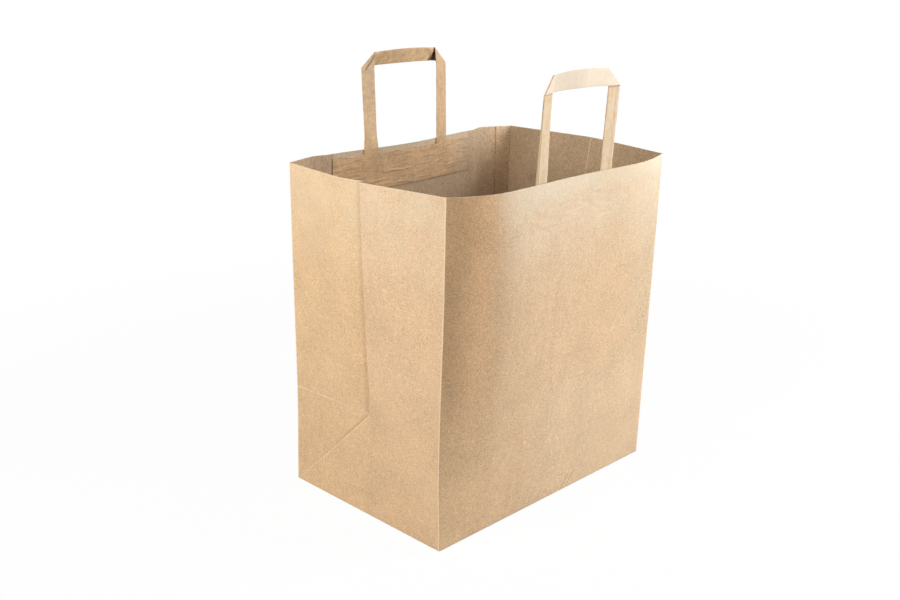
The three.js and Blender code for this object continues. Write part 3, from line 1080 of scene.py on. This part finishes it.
def calculate(operation, first, *others):
    """A value from one or more, taken in turn, in the node tree of the outputs among them."""
    tree = next(value.id_data for value in (first, *others) if isinstance(value, bpy.types.NodeSocket))
    for other in others or (0.0,):
        first = add_node(tree, 'ShaderNodeMath', {0: first, 1: other}, operation=operation).outputs[0]
    return first


def times(*factors):
    return calculate('MULTIPLY', *factors)


def plus(*terms):
    return calculate('ADD', *terms)


def minus(first, second):
    return calculate('SUBTRACT', first, second)


def most(*values):
    return calculate('MAXIMUM', *values)


def noise(vector, scale, detail):
    inputs = {'Vector': vector, 'Scale': scale, 'Detail': detail}
    return add_node(vector.id_data, 'ShaderNodeTexNoise', inputs).outputs['Fac']


def ramp(value, low, high, low_result=0.0, high_result=1.0, kind='SMOOTHSTEP'):
    """A step from one value to another, smooth or straight."""
    inputs = {
        'Value': value, 'From Min': low, 'From Max': high, 'To Min': low_result, 'To Max': high_result,
    }
    return add_node(value.id_data, 'ShaderNodeMapRange', inputs, interpolation_type=kind).outputs[0]


def between(value, start, end):
    """1 from a start to an end, and 0 beyond them."""
    return times(ramp(value, start, start + MM), ramp(value, end, end + MM, 1, 0))


def parts(where):
    """The three coordinates of a place."""
    return tuple(add_node(where.id_data, 'ShaderNodeSeparateXYZ', {0: where}).outputs)


def mark(tree, name):
    """Where a strap carries a mark."""
    return add_node(tree, 'ShaderNodeAttribute', {}, attribute_name=name).outputs['Fac']


def paper_fibre():
    """Grain, mottling and specks of kraft paper."""
    name = "Paper Fibre"
    if name in bpy.data.node_groups:
        return bpy.data.node_groups[name]
    number = 'NodeSocketFloat'
    group, given, result = new_group(
        name,
        [("Vector", 'NodeSocketVector'), ("Grain", number), ("Mottle", number)],
        [("Tone", number), ("Pale", number), ("Dark", number), ("Height", number)],
    )
    vector = given.outputs["Vector"]
    grain = noise(vector, GRAIN_SCALE, 2)
    mottle = noise(vector, MOTTLE_SCALE, 3)
    cloud = noise(vector, CLOUD_SCALE, 2)
    grained = times(minus(grain, 0.5), given.outputs["Grain"])
    mottled = times(minus(plus(mottle, cloud), 1), given.outputs["Mottle"])
    moved = add_node(group, 'ShaderNodeVectorMath', {0: vector, 1: SPECK_SHIFT}, operation='ADD')
    specks = noise(moved.outputs[0], SPECK_SCALE, 1)
    results = {
        "Tone": plus(grained, mottled, 1),
        "Pale": ramp(specks, 0.66, 0.76),
        "Dark": ramp(specks, 0.33, 0.22),
        "Height": plus(grain, mottle),
    }
    for socket, value in results.items():
        group.links.new(value, result.inputs[socket])
    return group


def fold_line():
    """A mask along a line, where a coordinate has a set value."""
    name = "Fold Line"
    if name in bpy.data.node_groups:
        return bpy.data.node_groups[name]
    number = 'NodeSocketFloat'
    group, given, result = new_group(
        name, [("Coordinate", number), ("Place", number), ("Reach", number)], [("Mask", number)]
    )
    off = calculate('ABSOLUTE', minus(given.outputs["Coordinate"], given.outputs["Place"]))
    group.links.new(ramp(off, 0, given.outputs["Reach"], 1, 0), result.inputs["Mask"])
    return group


def line_mask(coordinate, line_place, reach, strength):
    """A mask along a line, as strong as a number or another mask."""
    inputs = {"Coordinate": coordinate, "Place": line_place, "Reach": reach}
    line = add_node(coordinate.id_data, 'ShaderNodeGroup', inputs, node_tree=fold_line())
    return times(line.outputs["Mask"], strength)


def blend_colour(tree, factor, first, second, blend='MIX'):
    node = tree.nodes.new('ShaderNodeMix')
    node.data_type = 'RGBA'
    node.blend_type = blend
    sockets = {'Factor_Float': factor, 'A_Color': first, 'B_Color': second}
    for socket in node.inputs:
        value = sockets.get(socket.identifier)
        if isinstance(value, bpy.types.NodeSocket):
            tree.links.new(value, socket)
        elif value is not None:
            socket.default_value = value
    return next(socket for socket in node.outputs if socket.identifier == 'Result_Color')


class PaperFinish:
    """A fibrous paper: its material, its nodes and the tone that they have given so far."""

    def __init__(self, name, colours, base, grain, mottle, specks, bump, roughness):
        self.material = bpy.data.materials.new(name)
        self.material.use_nodes = True
        self.tree = tree = self.material.node_tree
        self.shader = tree.nodes["Principled BSDF"]
        self.where = tree.nodes.new('ShaderNodeTexCoord').outputs['Object']
        inputs = {"Vector": self.where, "Grain": grain, "Mottle": mottle}
        fibre = add_node(tree, 'ShaderNodeGroup', inputs, node_tree=paper_fibre()).outputs
        self.tone = blend_colour(tree, 1.0, (*base, 1), fibre["Tone"], 'MULTIPLY')
        self.cover(times(fibre["Pale"], specks), colours.pale_fibre)
        self.cover(times(fibre["Dark"], specks), colours.dark_fibre)
        inputs = {'Strength': bump, 'Distance': RELIEF, 'Height': fibre["Height"]}
        relief = add_node(tree, 'ShaderNodeBump', inputs)
        tree.links.new(relief.outputs['Normal'], self.shader.inputs['Normal'])
        self.shader.inputs['Roughness'].default_value = roughness
        self.shader.inputs['Specular IOR Level'].default_value = PAPER_GLOSS

    def cover(self, mask, covering):
        """Lay a colour over the paper."""
        self.tone = blend_colour(self.tree, mask, self.tone, (*covering, 1))

    def tint(self, mask, tint):
        """Multiply the paper's colour."""
        self.tone = blend_colour(self.tree, mask, self.tone, (*tint, 1), 'MULTIPLY')

    def finished(self):
        self.tree.links.new(self.tone, self.shader.inputs['Base Color'])
        return self.material


def blank_place(tree):
    """The place on the flat blank, and its two coordinates."""
    blank = add_node(tree, 'ShaderNodeUVMap', {}, uv_map="Blank").outputs[0]
    u, v, _ = parts(blank)
    return blank, u, v


def paint_sheen(wall, colours, blank, u, v, front, left_start):
    """A pale sheen is painted on the wall below its rim, mostly on the front, and paler still towards the
    front's rim.
    """
    on_front = times(ramp(u, *SHEEN_ALONG), front)
    beside_fold = minus(front, on_front)
    clouds = ramp(noise(blank, 32, 3), 0.35, 0.65, 0.5, 1)
    below_rim = times(ramp(v, *SHEEN_UP), clouds)
    front_share = ramp(minus(on_front, beside_fold), -1, 1, 0, FRONT_SHEEN)
    left_share = times(ramp(u, left_start - MM, left_start), LEFT_SHEEN)
    wall.cover(times(below_rim, most(front_share, left_share)), colours.rubbed)
    wall.cover(times(on_front, ramp(v, *SHEEN_RIM, 0, RIM_SHEEN)), colours.rubbed)


# Tint stretches of the wall with painted light and shade
def paint_light_and_shade(wall, panel, stretches, u, v):
    for stretch in stretches:
        masks = [ramp(u, *limits) for limits in stretch.along]
        masks += [ramp(v, *limits) for limits in stretch.up]
        wall.tint(times(panel, *masks), stretch.tint)


def kraft_wall(bag):
    """The bag's kraft paper, pale along its folds and rim with wear and painted highlight, with painted
    shade in its creases, a painted sheen below its rim and painted light and shade on parts of its wall.
    """
    body, colours = bag.body, bag.paper
    wall = PaperFinish(
        "kraft_wall", colours, colours.kraft, grain=1.3, mottle=0.26, specks=0.6, bump=0.8, roughness=0.4
    )
    blank, u, v = blank_place(wall.tree)
    apex = body.depth / 2
    left_start = 2 * body.width + body.depth
    left_middle = left_start + apex
    front = ramp(u, body.width, body.width + MM, 1, 0)
    left_front = ramp(u, left_middle, left_middle + MM)
    paint_sheen(wall, colours, blank, u, v, front, left_start)
    paint_light_and_shade(wall, front, FRONT_LIGHT_AND_SHADE, u, v)
    paint_light_and_shade(wall, left_front, LEFT_LIGHT_AND_SHADE, u, v)
    from_right = calculate('ABSOLUTE', minus(u, body.width + apex))
    from_left = calculate('ABSOLUTE', minus(u, left_middle))
    from_crease = calculate('MINIMUM', from_right, from_left)
    diagonal = plus(from_crease, v)
    below = minus(1, calculate('GREATER_THAN', v, apex))
    behind = minus(left_middle, u)
    slant = ramp(v, apex, body.height, 0, body.crease_slant, 'LINEAR')
    behind_crease = plus(behind, slant, below)
    on_rear = calculate('GREATER_THAN', behind, 0)
    rear_corner = times(on_rear, 0.32, below, ramp(v, 0, apex, 0.1, 1))
    # Painted shade in the valley behind the gusset crease and above the rear diagonal fold
    crease_shade = line_mask(behind_crease, 1.5 * MM, 6 * MM, 0.3)
    diagonal_shade = line_mask(diagonal, apex + 1.6 * MM, 3 * MM, rear_corner)
    wall.cover(most(crease_shade, diagonal_shade), colours.dark_fibre)
    rear_part = ramp(between(u, left_start, left_middle), 0, 1, 0.15, 1)
    patchy = ramp(noise(blank, 60, 2), 0.4, 0.6, 0.3, 1)
    broken = times(rear_part, patchy)
    # Pale lines along the folds, the rim and the creases: partly wear, partly painted highlight where they
    # catch the light
    wear_and_highlight_lines = (
        (from_crease, apex - 0.5 * MM, 1.4 * MM, 0.9),
        (u, 0, 0.8 * MM, 0.4),
        (v, body.height, 1.3 * MM, 0.5),
        (v, 0, 1.2 * MM, 0.3),
        (behind_crease, -1.4 * MM, 1.3 * MM, times(patchy, 0.8)),
        (diagonal, apex - MM, 1.3 * MM, times(broken, 0.6)),
        (v, apex + MM, 1.4 * MM, times(broken, 0.7)),
    )
    wall.cover(most(*(line_mask(*line) for line in wear_and_highlight_lines)), colours.worn_fold)
    return wall.finished()


def kraft_inside(bag):
    """The duller inner face of the bag's paper, with painted shadow along its seam and round the rear
    patch, the gussets' creases pale with wear and painted highlight, painted shade deep down and painted
    light on the right gusset and beside it.
    """
    body, patch, colours = bag.body, bag.patch, bag.paper
    inside = PaperFinish(
        "kraft_inside", colours, colours.inside, grain=1.6, mottle=0.4, specks=0.6, bump=0.6, roughness=0.6
    )
    blank, u, v = blank_place(inside.tree)
    rear_start = body.width + body.depth
    rear_middle = rear_start + body.width / 2
    # Painted shadow along the free edge of the seam's lap
    patchy = ramp(noise(blank, 90, 2), 0.35, 0.6, 0.15, 0.8)
    inside.cover(line_mask(u, rear_start + body.seam_lap, 0.8 * MM, patchy), colours.dark_fibre)
    # The right gusset's inner crease is pale: partly wear, partly painted highlight
    slant = ramp(v, body.height - CREASE_RUN, body.height, CREASE_SHIFT, 0, 'LINEAR')
    crease = line_mask(plus(u, slant), body.width + body.depth / 2, 1.3 * MM, 0.8)
    inside.cover(crease, colours.worn_fold)
    patch_top = body.height - patch.drop
    patch_foot = patch_top - patch.height
    half_patch = patch.span / 2
    from_middle = minus(u, rear_middle + patch.rear_shift)
    behind_patch = ramp(calculate('ABSOLUTE', from_middle), half_patch, half_patch - 5 * MM)
    # Painted shadow below the patch's lower edge and beside one of its ends
    shadow_under_patch = line_mask(v, patch_foot - MM, 2.2 * MM, times(behind_patch, 0.6))
    beside_patch = between(v, patch_foot, patch_foot + patch.height)
    shadow_beside_patch_end = line_mask(from_middle, half_patch + MM, 1.6 * MM, beside_patch)
    inside.cover(most(shadow_under_patch, shadow_beside_patch_end), colours.dark_fibre)
    # The strip between the rear patch's top and the rim is made paler, with the sheen's colour
    rim_strip = times(ramp(v, patch_top - 4 * MM, patch_top, 0, 0.35), behind_patch)
    inside.cover(rim_strip, colours.rubbed)
    after_corner = calculate('GREATER_THAN', u, rear_start)
    beside_corner = ramp(u, *(rear_start + reach for reach in CORNER_REACH))
    lit_corner = times(beside_corner, after_corner, ramp(v, *CORNER_LIGHT))
    on_right = times(ramp(u, *RIGHT_START), ramp(u, *RIGHT_END))
    lit_right = times(on_right, ramp(v, *RIGHT_LIGHT))
    # Painted shade deep inside the bag, and painted light where light falls into it
    depth_tone = times(ramp(v, *DARK_DEPTH), ramp(u, *LEFT_LIGHT))
    depth_tone = times(depth_tone, plus(lit_corner, lit_right, 1))
    inside.tone = blend_colour(inside.tree, 1.0, inside.tone, depth_tone, 'MULTIPLY')
    return inside.finished()


def strap_face_paper(bag):
    """The front strap: its grip is pale, and its legs show the browner side with the lap, with painted
    shade beyond the lap and painted shadow along the lap's edge and under the grip.
    """
    body, handle, colours = bag.body, bag.handle, bag.paper
    strap = PaperFinish(
        "strap_face_paper", colours, colours.strap_face, grain=0.3, mottle=0.1, specks=0.3, bump=0.3,
        roughness=0.5,
    )
    tree = strap.tree
    x, _, z = parts(strap.where)
    lift = (body.front_left_flare[2] + body.front_right_flare[2]) / 2
    grip_edge = body.height + handle.front_rise - handle.strap_width + lift
    fold = mark(tree, FOLD_MARK)
    strap.tint(fold, FACE_FOLD)
    on_leg = minus(1, most(mark(tree, GRIP_MARK), fold))
    smudged = ramp(noise(strap.where, 150, 3), 0.4, 0.62, 0.6, 1)
    strap.cover(times(smudged, on_leg), colours.strap_back)
    strap.tint(on_leg, FACE_LEG)
    outer_edge = handle.front_shift - handle.front_span / 2
    lap_foot = outer_edge - handle.front_splay + handle.strap_width / 4
    from_lap = minus(x, ramp(z, body.height, grip_edge, lap_foot, outer_edge, 'LINEAR'))
    below_grip = times(on_leg, calculate('LESS_THAN', z, grip_edge))
    # Painted shade on the strip beyond the lap, and painted shadow along the lap's edge and under the
    # grip's lower edge
    lap_strip_shade = times(ramp(from_lap, 0, -0.3 * MM), below_grip)
    strap.tint(lap_strip_shade, FACE_LAP_SHADE)
    lap_edge = times(line_mask(from_lap, -0.3 * MM, 1.1 * MM, below_grip), 0.7)
    shadow_under_grip = times(ramp(z, grip_edge - 1.8 * MM, grip_edge, 0, 0.8), below_grip)
    strap.cover(most(lap_edge, shadow_under_grip), colours.dark_fibre)
    return strap.finished()


def strap_back_paper(bag):
    """The rear strap's browner paper, mottled by its creases, with painted light on the grip, painted shade
    on the right leg and under the left fold's roll, and a painted shadow wedge.
    """
    body, handle, colours = bag.body, bag.handle, bag.paper
    strap = PaperFinish(
        "strap_back_paper", colours, colours.strap_back, grain=0.8, mottle=0.65, specks=0.5, bump=0.4,
        roughness=0.5,
    )
    tree = strap.tree
    x, _, z = parts(strap.where)
    grip_edge = body.height + handle.rear_rise - handle.strap_width
    grip = mark(tree, GRIP_MARK)
    off_grip = minus(1, grip)
    on_left = calculate('LESS_THAN', x, 0)
    left_leg = times(on_left, off_grip)
    # Painted light on the grip, which tilts down away from the light
    strap.tint(grip, BACK_GRIP_LIGHT)
    strap.tint(times(mark(tree, FOLD_MARK), on_left), BACK_FOLD)
    # Painted shade on the right leg
    strap.tint(times(ramp(x, 0, MM), off_grip), BACK_RIGHT_LEG_SHADE)
    strap.tint(left_leg, BACK_LEFT_LEG)
    fold_place = handle.rear_span / 2 - handle.strap_width - handle.rear_shift + WEDGE_FOLD
    (low_x, low_z), (high_x, high_z) = WEDGE_LOW, WEDGE_HIGH
    wedge_edge = ramp(
        z, grip_edge + low_z, grip_edge + high_z, fold_place + low_x, fold_place + high_x, 'LINEAR'
    )
    # The dark wedge is painted shadow, where the sprung grip runs behind the right leg
    wedge = ramp(minus(x, wedge_edge), 0, 0.25 * MM)
    strap.tint(times(wedge, mark(tree, LINING_MARK)), BACK_WEDGE_SHADOW)
    along_leg = minus(x, -handle.rear_span / 2 - handle.rear_shift)
    under_fold = minus(along_leg, minus(z, grip_edge))
    # A line of painted shade under the roll of the left fold
    roll = times(left_leg, ramp(along_leg, 3 * MM, 5 * MM))
    strap.tint(line_mask(under_fold, 3.3 * MM, 2.8 * MM, roll), BACK_ROLL_SHADE)
    return strap.finished()


def patch_paper(bag):
    """The patches' browner paper, with painted shade in lines along its wrinkles, and faded towards one
    end.
    """
    colours, half = bag.paper, bag.patch.span / 2
    patch = PaperFinish(
        "patch_paper", colours, colours.patch, grain=0.8, mottle=0.55, specks=0.4, bump=0.4, roughness=0.65
    )
    tree = patch.tree
    stretched = add_node(tree, 'ShaderNodeMapping', {'Vector': patch.where, 'Scale': WRINKLE_SHADE_STRETCH})
    wrinkle_shade = ramp(noise(stretched.outputs[0], WRINKLE_SHADE_SCALE, 3), 0.5, 0.72, 0, 0.45)
    patch.cover(wrinkle_shade, colours.dark_fibre)
    x, _, _ = parts(patch.where)
    patch.tint(ramp(x, *PATCH_LEFT_LIMITS), PATCH_LEFT)
    to_inside = [inside / plain for inside, plain in zip(colours.inside, colours.patch)]
    patch.tint(ramp(x, half / 2, half, 0, 0.8), to_inside)
    return patch.finished()


# Stage

Lamp = namedtuple("Lamp", "name place aim size power colour")
COOL = (0.985, 1.0, 1.025)
WARM = (1.02, 1.0, 0.94)
LAMPS = (
    Lamp("key_softbox", (0.766, -0.766, 0.431), (0, 0, 0.24), 0.45, 6.2, COOL),
    Lamp("key_fill", (0.637, -0.637, 0.871), (0, 0, 0.24), 0.5, 7.8, COOL),
    Lamp("left_softbox", (-1.067, 0.188, 0.431), (0, 0, 0.24), 0.5, 4.8, WARM),
    Lamp("left_fill", (-0.901, 0.0, 0.871), (0, 0, 0.24), 0.5, 4.8, WARM),
)
FLOOR_SIZE = 12
SENSOR_WIDTH = 36
SEEN_AS_WHITE = ('Is Camera Ray', 'Is Glossy Ray', 'Is Transmission Ray')


def seen_directly(tree):
    """1 for a ray that shows the background to the camera, straight or in a reflection."""
    path = tree.nodes.new('ShaderNodeLightPath')
    return most(*(path.outputs[name] for name in SEEN_AS_WHITE))


def white_world(stage):
    world = bpy.context.scene.world or bpy.data.worlds.new("World")
    bpy.context.scene.world = world
    world.use_nodes = True
    tree = world.node_tree
    background = tree.nodes["Background"]
    background.inputs['Color'].default_value = (1, 1, 1, 1)
    strength = ramp(seen_directly(tree), 0, 1, stage.ambient, 1)
    tree.links.new(strength, background.inputs['Strength'])


def floor_material(stage):
    material = bpy.data.materials.new("pale_floor")
    material.use_nodes = True
    tree = material.node_tree
    shader = tree.nodes["Principled BSDF"]
    shader.inputs['Base Color'].default_value = (*stage.floor, 1)
    shader.inputs['Roughness'].default_value = 0.9
    white = add_node(tree, 'ShaderNodeEmission', {'Color': (1, 1, 1, 1), 'Strength': 1})
    where = tree.nodes.new('ShaderNodeTexCoord').outputs['Object']
    away = add_node(tree, 'ShaderNodeVectorMath', {0: where}, operation='LENGTH').outputs['Value']
    reach = stage.shadow_reach
    white_part = ramp(away, reach, 2 * reach, stage.floor_white, 1)
    part = times(seen_directly(tree), white_part)
    mix = add_node(tree, 'ShaderNodeMixShader', {0: part, 1: shader.outputs[0], 2: white.outputs[0]})
    tree.links.new(mix.outputs[0], tree.nodes["Material Output"].inputs['Surface'])
    return material


class CARRIER_BAG_OT_stage(Operator):
    """Set up the pale floor, the soft light and the camera"""
    bl_idname = "carrier_bag.stage"
    bl_label = "Stage"

    def execute(self, context):
        stage = context.scene.carrier_bag.stage
        deselect_all()
        bpy.ops.mesh.primitive_plane_add(size=FLOOR_SIZE)
        floor = named("floor")
        floor.data.materials.append(floor_material(stage))
        white_world(stage)
        for lamp in LAMPS:
            turn = (Vector(lamp.aim) - Vector(lamp.place)).to_track_quat('-Z', 'Y').to_euler()
            bpy.ops.object.light_add(type='AREA', location=lamp.place, rotation=turn)
            light = context.active_object
            light.name = lamp.name
            light.data.size = lamp.size
            light.data.energy = lamp.power
            light.data.color = lamp.colour
        bpy.ops.object.camera_add(location=stage.camera_place)
        camera = context.active_object
        camera.name = "photo_camera"
        turn = Matrix.Rotation(stage.camera_turn, 3, 'Z')
        tilt = Matrix.Rotation(math.pi / 2 - stage.camera_tilt, 3, 'X')
        roll = Matrix.Rotation(stage.camera_roll, 3, 'Z')
        camera.rotation_euler = (turn @ tilt @ roll).to_euler()
        camera.data.sensor_fit = 'HORIZONTAL'
        camera.data.sensor_width = SENSOR_WIDTH
        camera.data.lens = stage.lens
        context.scene.camera = camera
        context.scene.view_settings.view_transform = 'Standard'
        return {'FINISHED'}


class CARRIER_BAG_PT_panel(Panel):
    """The bag's pieces and sizes"""
    bl_label = "Carrier Bag"
    bl_idname = "CARRIER_BAG_PT_panel"
    bl_space_type = 'VIEW_3D'
    bl_region_type = 'UI'
    bl_category = "Carrier Bag"

    def draw(self, context):
        bag = context.scene.carrier_bag
        for operator in OPERATORS:
            self.layout.operator(operator.bl_idname)
        for group in (bag.body, bag.handle, bag.patch, bag.paper, bag.stage):
            column = self.layout.box().column()
            for name in group.bl_rna.properties.keys():
                if name not in {"rna_type", "name"}:
                    column.prop(group, name)


SETTINGS = (BagSizes, HandleSizes, PatchSizes, PaperColours, StageSettings, CarrierBag)
OPERATORS = (
    CARRIER_BAG_OT_bag_body,
    CARRIER_BAG_OT_handles,
    CARRIER_BAG_OT_patches,
    CARRIER_BAG_OT_stage,
)


def register():
    for item in (*SETTINGS, *OPERATORS, CARRIER_BAG_PT_panel):
        bpy.utils.register_class(item)
    bpy.types.Scene.carrier_bag = PointerProperty(type=CarrierBag)


def unregister():
    del bpy.types.Scene.carrier_bag
    for item in reversed((*SETTINGS, *OPERATORS, CARRIER_BAG_PT_panel)):
        bpy.utils.unregister_class(item)


def main():
    register()
    bpy.ops.carrier_bag.bag_body()
    bpy.ops.carrier_bag.handles()
    bpy.ops.carrier_bag.patches()
    bpy.ops.carrier_bag.stage()


if __name__ == "__main__":
    main()
